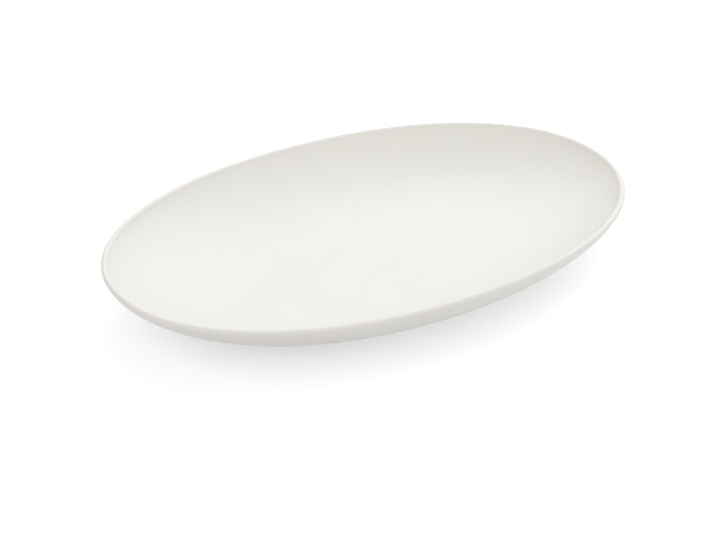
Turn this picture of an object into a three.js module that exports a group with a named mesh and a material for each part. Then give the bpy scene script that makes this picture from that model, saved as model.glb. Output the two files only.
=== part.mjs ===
// Oval serving plate in glazed white stoneware.
// Millimetres, +Z up. The plate stands on its foot ring at z = 0, centred on the origin, with its
// long axis along X. The fired clay body, the coat of glaze over it and the glaze under its base
// are three solids that meet face to face.
import * as THREE from "three";
import { mergeVertices } from "three/addons/utils/BufferGeometryUtils.js";

// Overall size of the glazed plate
const LENGTH = 320;
const WIDTH = 203;
const HEIGHT = 36.5;

// Flat floor of the well, measured along the middle of the wall
const WELL_LENGTH = 95;
const WELL_WIDTH = 60;

// Thickness of the glazed wall at the lip and at the floor, and of the glaze on each face
const LIP_THICKNESS = 3.6;
const FLOOR_THICKNESS = 5;
const GLAZE = 0.4;

// Foot ring: its height, its length over the glaze, its flat standing face, the rounding of its two
// edges, the coves beside it and the bare band between rounding and glaze
const FOOT_HEIGHT = 3;
const FOOT_LENGTH = 186;
const FOOT_FACE = 4.5;
const FOOT_ROUNDING = 0.8;
const FOOT_COVE = 2.5;
const BARE_BAND = 0.6;

// Curves: the power of the outline seen from above, where 2 is a true ellipse, and the powers that
// set how softly the wall leaves the floor and how sharply it turns upright at the lip
const OUTLINE_POWER = 2.1;
const FLOOR_POWER = 2.8;
const LIP_POWER = 1.31;

// Facets: points round each outline, and steps along each stretch of the section
const SIDES = 60;
const WALL_STEPS = 10;
const LIP_STEPS = 6;
const COVE_STEPS = 3;
const ROUNDING_STEPS = 2;

// Sizes that follow from the ones above
const RIGHT_ANGLE = Math.PI / 2;
const RIM_HALF_LENGTH = (LENGTH - LIP_THICKNESS) / 2;
const RIM_HALF_WIDTH = (WIDTH - LIP_THICKNESS) / 2;
const WALL_REACH_X = RIM_HALF_LENGTH - WELL_LENGTH / 2;
const WALL_REACH_Y = RIM_HALF_WIDTH - WELL_WIDTH / 2;
const RIM_MIDDLE_Z = HEIGHT - LIP_THICKNESS / 2;
const FLOOR_MIDDLE_Z = FOOT_HEIGHT + FLOOR_THICKNESS / 2;
const FLOOR_TOP_Z = FOOT_HEIGHT + FLOOR_THICKNESS;
const WALL_RISE = RIM_MIDDLE_Z - FLOOR_MIDDLE_Z;
const FOOT_HALF_LENGTH = FOOT_LENGTH / 2;
const FOOT_SPREAD = (FOOT_HALF_LENGTH - WELL_LENGTH / 2) / WALL_REACH_X;
const COVE_SPREAD = FOOT_SPREAD + FOOT_COVE / WALL_REACH_X;
const FOOT_HALF_WIDTH = WELL_WIDTH / 2 + FOOT_SPREAD * WALL_REACH_Y;
const FOOT_INNER_INSET = GLAZE + FOOT_ROUNDING + FOOT_FACE + FOOT_ROUNDING;
const GLAZE_LINE_Z = FOOT_ROUNDING + BARE_BAND;
const UPPER = 1;
const LOWER = -1;
const TURNS = Array.from({ length: SIDES }, (_, side) => (2 * Math.PI * side) / SIDES);

const { lerp } = THREE.MathUtils;
const point = (x, y, z) => new THREE.Vector3(x, y, z);
const signedPower = (value, power) => Math.sign(value) * Math.abs(value) ** power;
const ring = (place) => TURNS.map(place);

// Evenly spaced values from one end to the other, both included.
function steps(start, end, count) {
  return Array.from({ length: count + 1 }, (_, step) => lerp(start, end, step / count));
}

// A point on a superellipse, at a turn round it, and the direction along the curve there.
function outline(turn, halfLength, halfWidth, z) {
  const across = Math.cos(turn);
  const up = Math.sin(turn);
  const reach = 2 / OUTLINE_POWER;
  const place = point(halfLength * signedPower(across, reach), halfWidth * signedPower(up, reach), z);
  const lean = 2 - reach;
  const along = point(-halfLength * signedPower(up, lean), halfWidth * signedPower(across, lean), 0);
  return { place, along };
}

// Unit vector that points straight out of an outline, in plan.
function outward(along) {
  return point(along.y, -along.x, 0).normalize();
}

// How far up the wall's section, as an angle, the wall has spread by a share of its reach.
function riseAt(spread) {
  return Math.asin(spread ** (FLOOR_POWER / 2));
}

// A point on the upper or lower face of the wall, at a depth under the glaze. The middle of the
// wall is a loft from the well's outline to the rim's, and its section is a quarter superellipse
// that is level at the floor and upright at the lip. Each face is set off from it along the true
// normal by half of a thickness that eases from the floor's to the lip's.
function wallPoint(turn, rise, face, depth) {
  const spread = Math.sin(rise) ** (2 / FLOOR_POWER);
  const climb = 1 - Math.cos(rise) ** (2 / LIP_POWER);
  const halfLength = WELL_LENGTH / 2 + WALL_REACH_X * spread;
  const halfWidth = WELL_WIDTH / 2 + WALL_REACH_Y * spread;
  const { place, along } = outline(turn, halfLength, halfWidth, FLOOR_MIDDLE_Z + WALL_RISE * climb);
  const outStep = (2 / FLOOR_POWER) * Math.cos(rise) ** (2 - 2 / LIP_POWER);
  const upStep = (2 / LIP_POWER) * Math.sin(rise) ** (2 - 2 / FLOOR_POWER);
  const upTheWall = outline(turn, WALL_REACH_X, WALL_REACH_Y, 0).place.multiplyScalar(outStep);
  upTheWall.z = WALL_RISE * upStep;
  const normal = upTheWall.cross(along).normalize();
  const thickness = lerp(FLOOR_THICKNESS, LIP_THICKNESS, Math.sin(rise) ** 2);
  return place.addScaledVector(normal, face * (thickness / 2 - depth));
}

// A point on the half-round lip: the swing goes from the inner face, over the top, to the outer one.
function lipPoint(turn, swing, depth) {
  const { place, along } = outline(turn, RIM_HALF_LENGTH, RIM_HALF_WIDTH, RIM_MIDDLE_Z);
  const radius = LIP_THICKNESS / 2 - depth;
  place.addScaledVector(outward(along), radius * Math.cos(swing));
  place.z += radius * Math.sin(swing);
  return place;
}

// A point at a height on the foot ring, set in from the ring's outer glazed face.
function footPoint(turn, inset, z) {
  const { place, along } = outline(turn, FOOT_HALF_LENGTH, FOOT_HALF_WIDTH, z);
  return place.addScaledVector(outward(along), -inset);
}

// A point on the cove that a corner is softened into, from a start to an end.
function covePoint(start, corner, end, share) {
  const curve = new THREE.QuadraticBezierCurve3(start, corner, end);
  return curve.getPoint(share);
}

// The cove between the wall's lower face and the foot ring, down to the line where the glaze ends.
function outerCove(turn, share, depth) {
  const start = wallPoint(turn, riseAt(COVE_SPREAD), LOWER, depth);
  const corner = footPoint(turn, depth, wallPoint(turn, riseAt(FOOT_SPREAD), LOWER, depth).z);
  const end = footPoint(turn, depth, GLAZE_LINE_Z + GLAZE - depth);
  return covePoint(start, corner, end, share);
}

// The cove between the inside of the foot ring and the base, from the line where the glaze ends.
function innerCove(turn, share, depth) {
  const inset = FOOT_INNER_INSET + GLAZE - depth;
  const start = footPoint(turn, inset, GLAZE_LINE_Z + GLAZE - depth);
  const corner = footPoint(turn, inset, FOOT_HEIGHT + depth);
  const end = footPoint(turn, FOOT_INNER_INSET + FOOT_COVE, FOOT_HEIGHT + depth);
  return covePoint(start, corner, end, share);
}

// Rings of the plate's main face at a depth under the glaze: from the middle of the floor up the
// inside of the wall, over the lip, down the outside and into the cove beside the foot ring.
function mainFace(depth) {
  const floorZ = FLOOR_TOP_Z - depth;
  const inside = steps(0, RIGHT_ANGLE, WALL_STEPS);
  const lip = steps(Math.PI, 0, LIP_STEPS).slice(1, -1);
  const outside = steps(RIGHT_ANGLE, riseAt(COVE_SPREAD), WALL_STEPS);
  const cove = steps(0, 1, COVE_STEPS).slice(1);
  return [
    [point(0, 0, floorZ)],
    ring((turn) => outline(turn, WELL_LENGTH / 4, WELL_WIDTH / 4, floorZ).place),
    ...inside.map((rise) => ring((turn) => wallPoint(turn, rise, UPPER, depth))),
    ...lip.map((swing) => ring((turn) => lipPoint(turn, swing, depth))),
    ...outside.map((rise) => ring((turn) => wallPoint(turn, rise, LOWER, depth))),
    ...cove.map((share) => ring((turn) => outerCove(turn, share, depth))),
  ];
}

// Rings of the bare foot: its rounded outer edge, its flat standing face and its inner edge.
function bareFoot() {
  const outerCentre = GLAZE + FOOT_ROUNDING;
  const innerCentre = outerCentre + FOOT_FACE;
  const edge = (centre, angle) => {
    const inset = centre - FOOT_ROUNDING * Math.cos(angle);
    const z = FOOT_ROUNDING * (1 - Math.sin(angle));
    return ring((turn) => footPoint(turn, inset, z));
  };
  return [
    ...steps(0, RIGHT_ANGLE, ROUNDING_STEPS).map((angle) => edge(outerCentre, angle)),
    ...steps(RIGHT_ANGLE, Math.PI, ROUNDING_STEPS).map((angle) => edge(innerCentre, angle)),
  ];
}

// Rings of the face under the base at a depth under the glaze, inwards to its middle.
function baseFace(depth) {
  const z = FOOT_HEIGHT + depth;
  return [
    ...steps(0, 1, COVE_STEPS).map((share) => ring((turn) => innerCove(turn, share, depth))),
    ring((turn) => outline(turn, FOOT_HALF_LENGTH / 2, FOOT_HALF_WIDTH / 2, z).place),
    [point(0, 0, z)],
  ];
}

// Triangles that join each ring to the next. A ring of a single point closes the sheet there.
function sheet(rings) {
  const triangles = [];
  for (let step = 1; step < rings.length; step += 1) {
    const before = rings[step - 1];
    const after = rings[step];
    for (let side = 0; side < SIDES; side += 1) {
      const next = (side + 1) % SIDES;
      if (after.length > 1) {
        triangles.push([before[side % before.length], after[side], after[next]]);
      }
      if (before.length > 1) {
        triangles.push([before[side], after[next % after.length], before[next]]);
      }
    }
  }
  return triangles;
}

// The same triangles, facing the other way.
function turned(triangles) {
  return triangles.map(([first, second, third]) => [first, third, second]);
}

// A named solid bounded by sheets that meet along their edges.
function solid(name, colour, roughness, ...sheets) {
  const corners = sheets.flat(2);
  const loose = new THREE.BufferGeometry().setFromPoints(corners);
  const geometry = mergeVertices(loose);
  geometry.computeVertexNormals();
  const material = new THREE.MeshStandardMaterial({ color: colour, roughness, metalness: 0 });
  const mesh = new THREE.Mesh(geometry, material);
  mesh.name = name;
  return mesh;
}

const clayMain = mainFace(GLAZE);
const clayBase = baseFace(GLAZE);
const glazeLine = clayMain.at(-1);
const baseGlazeLine = clayBase[0];

const clayBody = solid("clay_body", 0xe6e0d4, 0.9, sheet([...clayMain, ...bareFoot(), ...clayBase]));
const glazeCoat = solid(
  "glaze_coat",
  0xf3f2ee,
  0.35,
  sheet([...mainFace(0), glazeLine]),
  turned(sheet(clayMain)),
);
const baseGlaze = solid(
  "base_glaze",
  0xf1f0ea,
  0.4,
  sheet([baseGlazeLine, ...baseFace(0)]),
  turned(sheet(clayBase)),
);

const servingPlate = new THREE.Group();
servingPlate.add(clayBody, glazeCoat, baseGlaze);

export default servingPlate;
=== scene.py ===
# %% [markdown]
# # An oval serving plate in white glaze
# This plate is pressed in one piece from stoneware clay, fired, dipped in white glaze and fired
# again. It is a shallow coupe: a flat floor whose wall curves up without a break into a rounded
# lip, and a low foot ring underneath that is wiped bare so that it doesn't stick to the kiln shelf.
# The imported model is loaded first, because it fixes the size and the place of every piece.

import bpy
import numpy as np
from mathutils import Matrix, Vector


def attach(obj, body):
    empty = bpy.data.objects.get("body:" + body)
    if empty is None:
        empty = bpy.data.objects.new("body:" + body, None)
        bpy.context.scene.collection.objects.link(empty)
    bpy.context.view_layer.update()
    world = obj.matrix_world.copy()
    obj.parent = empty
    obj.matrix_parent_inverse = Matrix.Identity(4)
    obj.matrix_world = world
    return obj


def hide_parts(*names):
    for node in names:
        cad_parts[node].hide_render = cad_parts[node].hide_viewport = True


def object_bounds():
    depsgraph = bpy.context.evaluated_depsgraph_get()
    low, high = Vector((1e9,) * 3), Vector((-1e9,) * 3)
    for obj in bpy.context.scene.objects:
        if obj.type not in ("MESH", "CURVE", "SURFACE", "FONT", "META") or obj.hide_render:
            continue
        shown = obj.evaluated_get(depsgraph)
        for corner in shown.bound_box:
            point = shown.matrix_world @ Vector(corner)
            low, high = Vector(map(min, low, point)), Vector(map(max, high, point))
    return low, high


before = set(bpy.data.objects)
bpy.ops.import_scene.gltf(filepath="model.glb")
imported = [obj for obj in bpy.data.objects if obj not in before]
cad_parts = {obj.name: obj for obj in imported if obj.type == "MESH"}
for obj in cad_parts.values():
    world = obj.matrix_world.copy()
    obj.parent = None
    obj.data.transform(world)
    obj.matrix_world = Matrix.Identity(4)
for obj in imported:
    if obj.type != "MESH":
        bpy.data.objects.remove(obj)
cad_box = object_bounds()
MILLIMETRE = 0.001


def in_millimetres(box):
    """The two corners of a box in metres, as rounded millimetres."""
    return [[round(value / MILLIMETRE, 2) for value in corner] for corner in box]


print("nodes:", sorted(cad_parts))
print("packed box in millimetres:", in_millimetres(cad_box))

# %% [markdown]
# ## Sizes
# A plate could be traced ring by ring, but its maker would give only a few sizes: how long, wide
# and high it is, how large the flat floor is, how thick the wall is and what the foot is like.
# The overall size is read from the frame. The rest is written here in millimetres and kept in
# metres, and three powers say how round the curves are.

# %% Sizes of the plate
LENGTH, WIDTH, HEIGHT = (cad_box[1][axis] - cad_box[0][axis] for axis in range(3))
WELL_LENGTH = 95 * MILLIMETRE
WELL_WIDTH = 60 * MILLIMETRE
LIP_THICKNESS = 3.6 * MILLIMETRE
FLOOR_THICKNESS = 5 * MILLIMETRE
GLAZE = 0.4 * MILLIMETRE
FOOT_HEIGHT = 3 * MILLIMETRE
FOOT_LENGTH = 186 * MILLIMETRE
FOOT_FACE = 4.5 * MILLIMETRE
FOOT_ROUNDING = 0.8 * MILLIMETRE
FOOT_COVE = 2.5 * MILLIMETRE
BARE_BAND = 0.6 * MILLIMETRE
OUTLINE_POWER = 2.1
FLOOR_POWER = 2.8
LIP_POWER = 1.31
print(f"width {WIDTH / LENGTH:.3f} and height {HEIGHT / LENGTH:.3f} of the length")

# %% [markdown]
# ## The outline
# Seen from above, every ring of the plate is a superellipse: an ellipse whose power is a little
# over 2, so that it is a touch fuller at the shoulders. A ring could be a Bezier circle that is
# scaled, but a formula also gives the direction along the ring, and with it the true normal.

# %% Superellipse outlines
SIDES = 240
TURN = np.linspace(0, 2 * np.pi, SIDES, endpoint=False)[None, :]


def signed_power(value, power):
    """The value's size to a power, with the value's sign."""
    return np.sign(value) * np.abs(value) ** power


def outline(half_length, half_width, z):
    """Rings at heights z where |x / half length|^n + |y / half width|^n = 1.

    At each turn x = half length * cos^(2/n) and y = half width * sin^(2/n). Returns the places
    and the directions along the rings, as arrays of rings, turns and xyz.
    """
    across, up = np.cos(TURN), np.sin(TURN)
    reach = 2 / OUTLINE_POWER
    x = half_length * signed_power(across, reach)
    y = half_width * signed_power(up, reach)
    place = np.stack(np.broadcast_arrays(x, y, z), axis=-1)
    along_x = -half_length * signed_power(up, 2 - reach)
    along_y = half_width * signed_power(across, 2 - reach)
    along = np.stack(np.broadcast_arrays(along_x, along_y, 0.0 * z), axis=-1)
    return place, along


def unit(vectors):
    """Vectors divided by their lengths."""
    return vectors / np.linalg.norm(vectors, axis=-1, keepdims=True)


def outward(along):
    """Unit normals of rings in plan: the direction along, turned a right angle outwards."""
    return unit(along[..., [1, 0, 2]] * [1, -1, 0])


def column(start, end, count):
    """Evenly spaced values as a column, one for each ring."""
    return np.linspace(start, end, count)[:, None]


print(f"{SIDES} points round each ring")

# %% [markdown]
# ## The section
# The wall could be a curve spun round an axis, but the plate is oval, and its wall is steeper at
# the sides than at the ends. So the middle of the wall is a loft from the well's outline to the
# rim's, with a quarter superellipse for its section: level at the floor and upright at the lip.
# Its two faces are set off from it along the true normal, which keeps the wall from growing thin
# where it is steep, and a half-round closes it at the lip.

# %% Measures of the section
RIM_HALF = (np.array([LENGTH, WIDTH]) - LIP_THICKNESS) / 2
WELL_HALF = np.array([WELL_LENGTH, WELL_WIDTH]) / 2
REACH = RIM_HALF - WELL_HALF
RIM_MIDDLE_Z = HEIGHT - LIP_THICKNESS / 2
FLOOR_MIDDLE_Z = FOOT_HEIGHT + FLOOR_THICKNESS / 2
WALL_RISE = RIM_MIDDLE_Z - FLOOR_MIDDLE_Z
print(f"wall rises {WALL_RISE / MILLIMETRE:.1f} mm over {REACH[1] / MILLIMETRE:.1f} mm at the sides")

# %% Faces of the wall and the lip
UPPER, LOWER = 1, -1


def rise_at(spread):
    """Angle along the section at which the wall has spread by a share of its reach."""
    return np.arcsin(spread ** (FLOOR_POWER / 2))


def wall(rise, face, depth):
    """Rings on one face of the wall, at angles of rise and a depth under the glaze.

    The middle spreads by sin^(2/p) and climbs by 1 - cos^(2/q) of the rise, where p is the
    floor's power and q the lip's. The face is set off along the normal by half the thickness,
    which eases from floor to lip, less the depth.
    """
    sine, cosine = np.sin(rise), np.clip(np.cos(rise), 0, 1)
    half = WELL_HALF + REACH * sine[..., None] ** (2 / FLOOR_POWER)
    climb = WALL_RISE * (1 - cosine ** (2 / LIP_POWER))
    place, along = outline(half[..., 0], half[..., 1], FLOOR_MIDDLE_Z + climb)
    out_step = (2 / FLOOR_POWER) * cosine ** (2 - 2 / LIP_POWER)
    up_step = (2 / LIP_POWER) * sine ** (2 - 2 / FLOOR_POWER)
    up_the_wall = outline(REACH[0] * out_step, REACH[1] * out_step, WALL_RISE * up_step)[0]
    normal = unit(np.cross(up_the_wall, along))
    thickness = FLOOR_THICKNESS + (LIP_THICKNESS - FLOOR_THICKNESS) * sine[..., None] ** 2
    return place + face * normal * (thickness / 2 - depth)


def lip(swing, depth):
    """Rings of the half-round lip: the rim's middle plus a radius that swings over the top."""
    place, along = outline(RIM_HALF[0], RIM_HALF[1], RIM_MIDDLE_Z + 0 * swing)
    radius = LIP_THICKNESS / 2 - depth
    place = place + outward(along) * (radius * np.cos(swing))[..., None]
    return place + np.array([0, 0, 1]) * (radius * np.sin(swing))[..., None]


print(f"wall has spread halfway at {np.degrees(rise_at(1 / 2)):.0f} of its 90 degrees of rise")

# %% [markdown]
# ## The foot ring
# The foot is a low ring under the plate, with a flat standing face and softened edges. It could
# be a swept profile, but its outline is known already, so each of its rings is that outline set
# in by a distance. The coves on both sides of it are Bezier curves that soften its corners, and
# the glaze ends above the bare edge in a rounded bead, as it does where a sponge wiped it off.

# %% Measures of the foot
FOOT_SPREAD = (FOOT_LENGTH / 2 - WELL_HALF[0]) / REACH[0]
FOOT_HALF = WELL_HALF + FOOT_SPREAD * REACH
FOOT_INNER_INSET = GLAZE + FOOT_ROUNDING + FOOT_FACE + FOOT_ROUNDING
GLAZE_LINE_Z = FOOT_ROUNDING + BARE_BAND
foot_length, foot_width = 2 * FOOT_HALF / MILLIMETRE
print(f"foot ring {foot_length:.1f} by {foot_width:.1f} mm over its glaze")

# %% Faces of the foot
def foot(inset, z):
    """Rings set in from the foot's outer outline by distances, at heights z."""
    place, along = outline(FOOT_HALF[0], FOOT_HALF[1], z)
    return place - outward(along) * np.asarray(inset)[..., None]


def cove(start, corner, end, share):
    """Quadratic Bezier curve: (1-s)^2 start + 2s(1-s) corner + s^2 end, at shares s."""
    share = share[..., None]
    return (1 - share) ** 2 * start + 2 * share * (1 - share) * corner + share ** 2 * end


def bare_foot(angle):
    """Rounded outer edge, flat standing face and rounded inner edge: two quarter circles."""
    outer_centre = GLAZE + FOOT_ROUNDING
    inner_centre = outer_centre + FOOT_FACE
    height = FOOT_ROUNDING * (1 - np.sin(angle))
    outer = foot(outer_centre - FOOT_ROUNDING * np.cos(angle), height)
    inner = foot(inner_centre + FOOT_ROUNDING * np.cos(angle[::-1]), height[::-1])
    return np.concatenate([outer, inner])


def outer_bead(angle):
    """Quarter circle that rounds the end of the main glaze, from its face to the clay."""
    return foot(GLAZE * (1 - np.cos(angle)), GLAZE_LINE_Z + GLAZE * (1 - np.sin(angle)))


def inner_bead(angle):
    """Quarter circle that rounds the end of the base glaze, from the clay to its face."""
    inset = FOOT_INNER_INSET + GLAZE * np.sin(angle)
    return foot(inset, GLAZE_LINE_Z + GLAZE * (1 - np.cos(angle)))


print(f"glaze ends {GLAZE_LINE_Z / MILLIMETRE:.1f} mm above the table")

# %% [markdown]
# ## Three faces, three solids
# The plate has a main face, a bare foot and a face under the base. Each face is worked out at a
# depth: 0 is the glaze's surface, and the glaze's thickness is the clay under it. The clay body
# is bounded by the clay's own faces, and each glaze by its outer face and the clay's face below,
# so the three solids meet with nothing between them. One solid with three colours would look the
# same, but it couldn't be taken apart.

# %% Main face
RIGHT_ANGLE = np.pi / 2
FLOOR_TOP_Z = FOOT_HEIGHT + FLOOR_THICKNESS
COVE_SPREAD = FOOT_SPREAD + FOOT_COVE / REACH[0]
FLOOR_RINGS = 12
WALL_RINGS = 44
LIP_RINGS = 19
COVE_RINGS = 10
# A column of one ring: a number added to it becomes that ring's value.
ONE_RING = np.array([[0.0]])


def main_face(depth):
    """Rings from the floor's middle up the inside, over the lip and down to the foot."""
    share = column(0, 1, FLOOR_RINGS)[1:-1]
    floor = outline(*(share * half for half in WELL_HALF), FLOOR_TOP_Z - depth + 0 * share)[0]
    inside = wall(column(0, RIGHT_ANGLE, WALL_RINGS), UPPER, depth)
    over = lip(column(np.pi, 0, LIP_RINGS)[1:-1], depth)
    outside = wall(column(RIGHT_ANGLE, rise_at(COVE_SPREAD), WALL_RINGS), LOWER, depth)
    corner = foot(depth + ONE_RING, ONE_RING)
    corner[..., 2] = wall(rise_at(FOOT_SPREAD) + ONE_RING, LOWER, depth)[..., 2]
    end = foot(depth + ONE_RING, GLAZE_LINE_Z + GLAZE - depth + ONE_RING)
    beside = cove(outside[-1:], corner, end, column(0, 1, COVE_RINGS)[1:])
    return np.concatenate([floor, inside, over, outside, beside])


glaze_main, clay_main = main_face(0), main_face(GLAZE)
print(f"main face: {len(glaze_main)} rings")

# %% Bare foot and face under the base
ROUNDING_RINGS = 7


def base_face(depth):
    """Rings of the cove inside the foot and of the base, inwards to its middle."""
    inset = FOOT_INNER_INSET + GLAZE - depth
    z = FOOT_HEIGHT + depth
    start = foot(inset + ONE_RING, GLAZE_LINE_Z + GLAZE - depth + ONE_RING)
    corner = foot(inset + ONE_RING, z + ONE_RING)
    end = foot(FOOT_INNER_INSET + FOOT_COVE + ONE_RING, z + ONE_RING)
    beside = cove(start, corner, end, column(0, 1, COVE_RINGS))
    share = column(1, 0, FLOOR_RINGS)[1:-1, :, None]
    return np.concatenate([beside, end * [1, 1, 0] * share + [0, 0, z]])


quarter = column(0, RIGHT_ANGLE, ROUNDING_RINGS)
foot_rings = bare_foot(quarter)
glaze_base, clay_base = base_face(0), base_face(GLAZE)
print(f"bare foot: {len(foot_rings)} rings, face under the base: {len(glaze_base)} rings")

# %% [markdown]
# ## From rings to meshes
# Blender's Spin tool could turn a profile into a round plate, and a scale could make it oval, but
# its wall would then be thicker at the ends than at the sides. Here each solid is a stack of rings
# with the same number of points, so its faces are a grid of quads that is closed round the plate,
# and a fan of triangles on the plate's axis shuts each end. The faces are shaded smoothly, except
# where two of them meet at a real edge.

# %% Mesh of a stack of rings
SHARP_ANGLE = np.radians(35)


def axis_point(ring):
    """The point on the plate's axis at the height of a ring."""
    return np.array([0, 0, ring[0, 2]])


def closed_piece(name, stack):
    """Quads between neighbouring rings of a stack, and a fan at its first and last ring."""
    rings = np.concatenate(stack)
    points = np.concatenate([rings.reshape(-1, 3), [axis_point(rings[0]), axis_point(rings[-1])]])
    here = np.arange(len(rings) * SIDES).reshape(-1, SIDES)
    ahead = np.roll(here, -1, axis=1)
    first_middle, last_middle = np.full(SIDES, here.size), np.full(SIDES, here.size + 1)
    quads = np.stack([here[:-1], here[1:], ahead[1:], ahead[:-1]], axis=-1).reshape(-1, 4)
    first = np.stack([first_middle, here[0], ahead[0]], axis=-1)
    last = np.stack([here[-1], last_middle, ahead[-1]], axis=-1)
    mesh = bpy.data.meshes.new(name)
    mesh.from_pydata(points.tolist(), [], [*quads.tolist(), *first.tolist(), *last.tolist()])
    mesh.polygons.foreach_set("use_smooth", np.ones(len(mesh.polygons), bool))
    mesh.set_sharp_from_angle(angle=SHARP_ANGLE)
    piece = bpy.data.objects.new(name, mesh)
    bpy.context.scene.collection.objects.link(piece)
    print(f"{name}: {len(mesh.vertices)} points, {len(mesh.polygons)} faces")
    return piece


print(f"edges of more than {np.degrees(SHARP_ANGLE):.0f} degrees stay sharp")

# %% [markdown]
# ## The clay and its two glazes
# The body is one piece of fired clay that carries the foot. The main glaze covers it from the
# middle of the floor over the lip and down to the foot, and a second patch of glaze fills the
# base inside the foot ring. A Solidify modifier could thicken the clay into its glaze, but it
# would coat the bare foot too, so each glaze is a closed piece with a rounded end of its own.

# %% The three pieces
bead = quarter[1:-1]
clay_body = closed_piece("fired_clay_body", [clay_main, foot_rings, clay_base])
main_glaze = closed_piece("main_glaze", [glaze_main, outer_bead(bead), clay_main[::-1]])
base_glaze = closed_piece("base_glaze_patch", [clay_base[::-1], inner_bead(bead), glaze_base])

# %% [markdown]
# ## Sums on sockets
# A finish is a sum of patterns. The nodes for it could be placed and linked one by one, but a sum
# is easier to read as a sum. This class wraps a node's output, so that each operator on it adds
# the Math node that it stands for. Any other node comes from one method.

# %% A socket that Python can calculate with
# The numbers of a Mix node's sockets for colours. It has others for values and vectors.
MIX_FROM, MIX_TO, MIX_RESULT = 6, 7, 2


class Socket:
    """A node's output in a node tree. Operators on it add Math nodes and return their outputs."""

    def __init__(self, tree, output=None):
        self.tree = tree
        self.output = output

    def node(self, kind, settings, inputs, output=0):
        """Adds a node of a kind, with its settings and inputs, and returns one of its outputs."""
        made = self.tree.nodes.new("ShaderNode" + kind)
        for name, setting in settings.items():
            setattr(made, name, setting)
        for key, value in inputs.items():
            if isinstance(value, Socket):
                self.tree.links.new(value.output, made.inputs[key])
            else:
                made.inputs[key].default_value = value
        return Socket(self.tree, made.outputs[output])

    def feed(self, node, key):
        """Links this output to a socket of a node."""
        self.tree.links.new(self.output, node.inputs[key])

    def maths(self, operation, *terms):
        """The result of a Math node's operation on terms."""
        return self.node("Math", {"operation": operation}, dict(enumerate(terms)))

    def __add__(self, other):
        return self.maths("ADD", self, other)

    def __sub__(self, other):
        return self.maths("SUBTRACT", self, other)

    def __rsub__(self, other):
        return self.maths("SUBTRACT", other, self)

    def __mul__(self, other):
        return self.maths("MULTIPLY", self, other)

    __radd__ = __add__
    __rmul__ = __mul__

    def most(self, other):
        """The larger of two values."""
        return self.maths("MAXIMUM", self, other)

    def ease(self, low, high):
        """0 at or below a low value, 1 at or above a high one, and a smooth step between."""
        limits = {"Value": self, "From Min": low, "From Max": high}
        return self.node("MapRange", {"interpolation_type": "SMOOTHSTEP"}, limits)

    def mix(self, none, full):
        """A colour that goes from one at 0 to another at 1."""
        ends = {"Factor": self, MIX_FROM: none, MIX_TO: full}
        return self.node("Mix", {"data_type": "RGBA"}, ends, output=MIX_RESULT)

    def noise(self, size, detail):
        """Cloudy values from 0 to 1 at this place: clouds of a size in metres, with finer detail."""
        return self.node("TexNoise", {}, {"Vector": self, "Scale": 1 / size, "Detail": detail})


print("operators: + - * on sockets, with most, ease, mix and noise")

# %% [markdown]
# ## The glaze
# A satin white glaze looks even, but it isn't: its surface has the faint dimples that melting
# leaves, broader swells where it ran, and a tone that is warmer where it is thin over the lip and
# cooler where it pools in a cove. Clouds on the object's own coordinates give all of these at
# their real sizes. Painted pictures could do it too, but they would need to be unwrapped.

# %% Start of a material
def new_material(name):
    """A material with its nodes, and the shader that it starts with."""
    material = bpy.data.materials.new(name)
    material.use_nodes = True
    return material, material.node_tree.nodes["Principled BSDF"]


def place_and_height(material):
    """The place on a piece in metres, and its height above the table."""
    start = Socket(material.node_tree)
    place = start.node("TexCoord", {}, {}, output="Object")
    return place, start.node("SeparateXYZ", {}, {"Vector": place}, output="Z")


print("patterns read the place on a piece and the height above the table")

# %% Measures of the glaze
SWELL = 24 * MILLIMETRE
DIMPLE = 2.2 * MILLIMETRE
# Between these values of a swell the tone turns from even to warm.
WARM_SWELLS = (0.3, 0.7)
POOL_DEPTH = 3 * MILLIMETRE
POOL_TINT = 0.5
THIN_BELOW_LIP = 2.2 * MILLIMETRE
THIN_PATCHES = 0.5
LIP_TINT = 0.5
# The swells and dimples add their shares to the least roughness.
LEAST_ROUGHNESS = 0.38
SWELL_ROUGHNESS = 0.08
DIMPLE_ROUGHNESS = 0.04
DIMPLE_RELIEF = 0.8
SWELL_RELIEF = 0.2
GLAZE_BUMP = 0.12
GLAZE_RELIEF = 0.25 * MILLIMETRE
print(f"swells {SWELL / MILLIMETRE:.0f} mm and dimples {DIMPLE / MILLIMETRE:.1f} mm across")

# %% Satin white glaze
def satin_glaze(name, even, warm, cool):
    """White glaze: tone from the swells, the lip and the coves, and dimples as a bump."""
    material, shader = new_material(name)
    place, height = place_and_height(material)
    swell = place.noise(SWELL, detail=1.0)
    dimple = place.noise(DIMPLE, detail=1.0)
    patchy = 1 - THIN_PATCHES + THIN_PATCHES * swell
    thin = height.ease(HEIGHT - THIN_BELOW_LIP, HEIGHT) * patchy
    pooled = 1 - height.ease(FOOT_HEIGHT, FOOT_HEIGHT + POOL_DEPTH)
    tone = swell.ease(*WARM_SWELLS).mix(even, warm)
    tone = (POOL_TINT * pooled).mix(tone, cool)
    (LIP_TINT * thin).mix(tone, warm).feed(shader, "Base Color")
    (LEAST_ROUGHNESS + SWELL_ROUGHNESS * swell + DIMPLE_ROUGHNESS * dimple).feed(shader, "Roughness")
    relief = DIMPLE_RELIEF * dimple + SWELL_RELIEF * swell
    bump = {"Strength": GLAZE_BUMP, "Distance": GLAZE_RELIEF, "Height": relief}
    relief.node("Bump", {}, bump).feed(shader, "Normal")
    print(f"{name}: {len(material.node_tree.nodes)} nodes")
    return material


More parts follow.
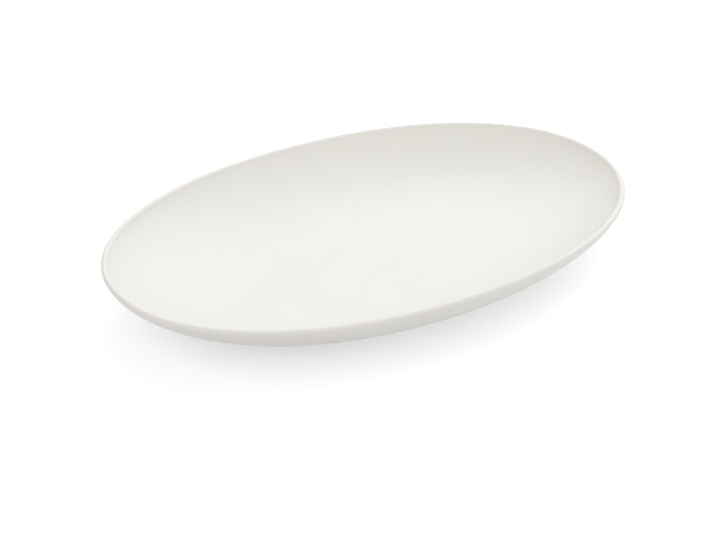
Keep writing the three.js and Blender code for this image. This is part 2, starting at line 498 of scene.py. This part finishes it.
MAIN_TONES = {
    "even": (0.91, 0.896, 0.857, 1),
    "warm": (0.908, 0.891, 0.845, 1),
    "cool": (0.893, 0.884, 0.851, 1),
}
BASE_TONES = {
    "even": (0.893, 0.879, 0.838, 1),
    "warm": (0.886, 0.865, 0.812, 1),
    "cool": (0.879, 0.87, 0.835, 1),
}
main_glaze.data.materials.append(satin_glaze("satin_white_glaze", **MAIN_TONES))
base_glaze.data.materials.append(satin_glaze("satin_base_glaze", **BASE_TONES))

# %% [markdown]
# ## The bare clay
# Only the foot shows the clay: pale, dry and grainy, with a few specks of iron, a toasted line
# beside the glaze where the kiln coloured it, and grey scuffs on the face that slides on tables.
# Clouds could make the specks too, but each needs a middle, so cells make them, and clouds make
# the rest.

# %% Colours of the clay
DARK_GRAIN = (0.74, 0.69, 0.6, 1)
PALE_GRAIN = (0.84, 0.8, 0.73, 1)
TOAST = (0.72, 0.55, 0.38, 1)
TOAST_TINT = 0.55
SCUFF_GREY = (0.5, 0.49, 0.47, 1)
SCUFF_TINT = 0.35
IRON = (0.3, 0.22, 0.16, 1)
IRON_TINT = 0.6
print("grains from", DARK_GRAIN[:3], "to", PALE_GRAIN[:3])

# %% Measures of the clay
GRAIN = 0.5 * MILLIMETRE
SPECK_SPACING = 2.4 * MILLIMETRE
# A speck's edge and its dark core, as shares of the spacing.
SPECK_EDGE = 0.16
SPECK_CORE = SPECK_EDGE / 2
TOAST_START = GLAZE_LINE_Z / 2
STANDING_TOP = 0.3 * FOOT_ROUNDING
SCUFF = 6 * MILLIMETRE
# Between these values of a cloud the scuffs come in.
SCUFFED_CLOUDS = (0.45, 0.7)
# The standing face and its scuffs are rubbed smoother than the dry clay.
DRY_ROUGHNESS = 0.92
STANDING_POLISH = 0.12
SCUFF_POLISH = 0.1
SPECK_PIT = 0.5
CLAY_BUMP = 0.5
CLAY_RELIEF = 0.1 * MILLIMETRE
print(f"specks {2 * SPECK_EDGE * SPECK_SPACING / MILLIMETRE:.1f} mm across")

# %% Bare fired clay
def bare_clay(name):
    """Dry clay: grain in colour and bump, specks near the middles of cells, and wear by height."""
    material, shader = new_material(name)
    place, height = place_and_height(material)
    grain = place.noise(GRAIN, detail=3.0)
    cells = {"Vector": place, "Scale": 1 / SPECK_SPACING, "Randomness": 1.0}
    from_middle = place.node("TexVoronoi", {}, cells, output="Distance")
    speck = 1 - from_middle.ease(SPECK_CORE, SPECK_EDGE)
    toasted = height.ease(TOAST_START, GLAZE_LINE_Z)
    standing = 1 - height.ease(0, STANDING_TOP)
    scuffed = standing * place.noise(SCUFF, detail=4.0).ease(*SCUFFED_CLOUDS)
    tone = grain.mix(DARK_GRAIN, PALE_GRAIN)
    tone = (TOAST_TINT * toasted).mix(tone, TOAST)
    tone = (SCUFF_TINT * scuffed).mix(tone, SCUFF_GREY)
    (IRON_TINT * speck).mix(tone, IRON).feed(shader, "Base Color")
    (DRY_ROUGHNESS - STANDING_POLISH * standing - SCUFF_POLISH * scuffed).feed(shader, "Roughness")
    bump = {"Strength": CLAY_BUMP, "Distance": CLAY_RELIEF, "Height": grain - SPECK_PIT * speck}
    grain.node("Bump", {}, bump).feed(shader, "Normal")
    print(f"{name}: {len(material.node_tree.nodes)} nodes")
    return material


clay_body.data.materials.append(bare_clay("bare_fired_clay"))

# %% [markdown]
# ## On the frame
# The plate has no moving piece, so everything rides on the one body of the frame. A piece could
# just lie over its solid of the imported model, but then both would show. So each piece stands for
# one solid, which is hidden and keeps colliding.

# %% Ride on the body and stand for the nodes
for piece, node, slot in (
    (clay_body, "clay_body", "bare_clay"),
    (main_glaze, "glaze_coat", "white_glaze"),
    (base_glaze, "base_glaze", "base_white_glaze"),
):
    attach(piece, "root")
    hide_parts(node)
    print(f"{piece.name} stands for {node}")

# %% [markdown]
# ## The floor
# The plate stands on white paper that is lit almost to pure white, with a soft shadow left on it.
# More light would bleach the plate as well, so the paper's own material does it: to the camera,
# and in reflections, it glows a little under its shading, and to all other rays it is plain paper.
# Away from the plate, where the lamps don't reach, it fades to white, so that no horizon shows.

# %% Rays that see a surface directly
DIRECT_RAYS = ("Camera", "Glossy", "Transmission")


def seen_directly(start):
    """1 for rays from the camera, from a reflection or through glass, and 0 for all others."""
    camera, glossy, transmission = (
        start.node("LightPath", {}, {}, output=f"Is {kind} Ray") for kind in DIRECT_RAYS
    )
    return camera.most(glossy).most(transmission)


print("seen directly by:", ", ".join(DIRECT_RAYS))

# %% White paper
PAPER = (0.85, 0.85, 0.85, 1)
PAPER_SHADED = (0.781, 0.795, 0.799, 1)
PAPER_GLOW = (0.47, 0.472, 0.488, 1)
WHITE = (1, 1, 1, 1)
FADE_START = 0.6
FADE_END = 1.4


def glowing_paper(name):
    """Paper that scatters light, and for rays that see it directly glows and fades to white."""
    material, shader = new_material(name)
    material.node_tree.nodes.remove(shader)
    start = Socket(material.node_tree)
    plain = start.node("BsdfDiffuse", {}, {"Color": PAPER})
    shaded = start.node("BsdfDiffuse", {}, {"Color": PAPER_SHADED})
    glow = start.node("Emission", {}, {"Color": PAPER_GLOW, "Strength": 1.0})
    bright = start.node("AddShader", {}, {0: shaded, 1: glow})
    white = start.node("Emission", {}, {"Color": WHITE, "Strength": 1.0})
    place = start.node("TexCoord", {}, {}, output="Object")
    away = start.node("VectorMath", {"operation": "LENGTH"}, {0: place}, output="Value")
    faded = start.node("MixShader", {}, {0: away.ease(FADE_START, FADE_END), 1: bright, 2: white})
    paper = start.node("MixShader", {}, {0: seen_directly(start), 1: plain, 2: faded})
    paper.feed(material.node_tree.nodes["Material Output"], "Surface")
    print(f"{name}: {len(material.node_tree.nodes)} nodes")
    return material


white_paper = glowing_paper("white_paper")

# %% Floor
FLOOR_HALF = 4.0
corners = FLOOR_HALF * np.array([[-1, -1, 0], [1, -1, 0], [1, 1, 0], [-1, 1, 0]])
paper_mesh = bpy.data.meshes.new("paper_floor")
paper_mesh.from_pydata(corners.tolist(), [], [(0, 1, 2, 3)])
paper_mesh.materials.append(white_paper)
paper_floor = bpy.data.objects.new("paper_floor", paper_mesh)
bpy.context.scene.collection.objects.link(paper_floor)
print(f"floor {2 * FLOOR_HALF:.0f} m across")

# %% [markdown]
# ## The light
# A plate is photographed in soft light from all round, so that no lamp shows in its glaze. A dome
# of even light could do it alone, but it would make the wall look flat. So the dome is weaker and
# as warm as the light of a room, and five large softboxes with the cooler tint of daylight stand
# round it. The two behind the plate are the strongest: they light the well, leave the far wall a
# little darker and lay the shadow on the near side. The other three fill in from the front and
# the right.

# %% Dome
DOME_STRENGTH = 0.546
ROOM_COLOUR = (1, 0.938, 0.89, 1)


def dome(strength):
    """A world that lights evenly, and that the camera and reflections see as white."""
    world = bpy.data.worlds.new("studio")
    world.use_nodes = True
    world.node_tree.nodes.remove(world.node_tree.nodes["Background"])
    start = Socket(world.node_tree)
    light = start.node("Background", {}, {"Color": ROOM_COLOUR, "Strength": strength})
    white = start.node("Background", {}, {"Color": WHITE, "Strength": 1.0})
    sky = start.node("MixShader", {}, {0: seen_directly(start), 1: light, 2: white})
    sky.feed(world.node_tree.nodes["World Output"], "Surface")
    return world


bpy.context.scene.world = dome(DOME_STRENGTH)
print(f"dome at a strength of {DOME_STRENGTH}")

# %% Softboxes
AZIMUTH = np.radians(-30.56)
DAYLIGHT_COLOUR = (0.86, 0.94, 1)
SOFTBOX_SIDE = 1.0
STAND = {"away": 1.0, "up": 0.9}
HIGH_STAND = {"away": 0.55, "up": 1.2}
LOW_STAND = {"away": 1.25, "up": 0.55}


def softbox(name, bearing, away, up, radiance):
    """A square lamp at a bearing in degrees from the view's direction, aimed at the plate's middle.

    A lamp's energy is its radiance times pi times its area. The camera doesn't see the lamp.
    """
    angle = AZIMUTH + np.radians(bearing)
    place = Vector((-np.sin(angle) * away, np.cos(angle) * away, up))
    data = bpy.data.lights.new(name, "AREA")
    data.shape = "SQUARE"
    data.size = SOFTBOX_SIDE
    data.color = DAYLIGHT_COLOUR
    data.energy = radiance * np.pi * SOFTBOX_SIDE ** 2
    lamp = bpy.data.objects.new(name, data)
    lamp.location = place
    lamp.rotation_euler = (-place).to_track_quat("-Z", "Y").to_euler()
    lamp.visible_camera = False
    bpy.context.scene.collection.objects.link(lamp)
    print(f"{name}: {data.energy:.2f} W")


softbox("softbox_behind", bearing=0, **STAND, radiance=1.34)
softbox("softbox_behind_right", bearing=-45, **STAND, radiance=1.18)
softbox("softbox_right", bearing=-90, **HIGH_STAND, radiance=0.33)
softbox("softbox_front_right", bearing=-135, **LOW_STAND, radiance=0.65)
softbox("softbox_front_left", bearing=135, **STAND, radiance=0.82)

# %% [markdown]
# ## The camera
# The camera looks down on the plate at about 31 degrees, from a third of the way round from its
# long side to its end, through a long lens that keeps the oval from looking stretched. It could
# be placed by hand, but here its place follows from the point that it aims at, two angles and a
# distance, so that each can be tried on its own. The lens follows from the pixels that a metre
# takes up in the picture at that point.

# %% Camera
ELEVATION = np.radians(30.95)
DISTANCE = 1.0
PIXELS_PER_METRE = 1851.6
PHOTO_WIDTH = 716
SENSOR_WIDTH = 36
AIM = Vector((-0.03694, -0.04689, HEIGHT))
sideways = np.cos(ELEVATION)
back = Vector((np.sin(AZIMUTH) * sideways, -np.cos(AZIMUTH) * sideways, np.sin(ELEVATION)))
camera_data = bpy.data.cameras.new("camera")
camera_data.sensor_width = SENSOR_WIDTH
camera_data.lens = SENSOR_WIDTH * DISTANCE * PIXELS_PER_METRE / PHOTO_WIDTH
camera = bpy.data.objects.new("camera", camera_data)
camera.location = AIM + DISTANCE * back
camera.rotation_euler = back.to_track_quat("Z", "Y").to_euler()
bpy.context.scene.collection.objects.link(camera)
bpy.context.scene.camera = camera
bpy.context.scene.view_settings.view_transform = "Standard"
print(f"lens {camera_data.lens:.1f} mm")
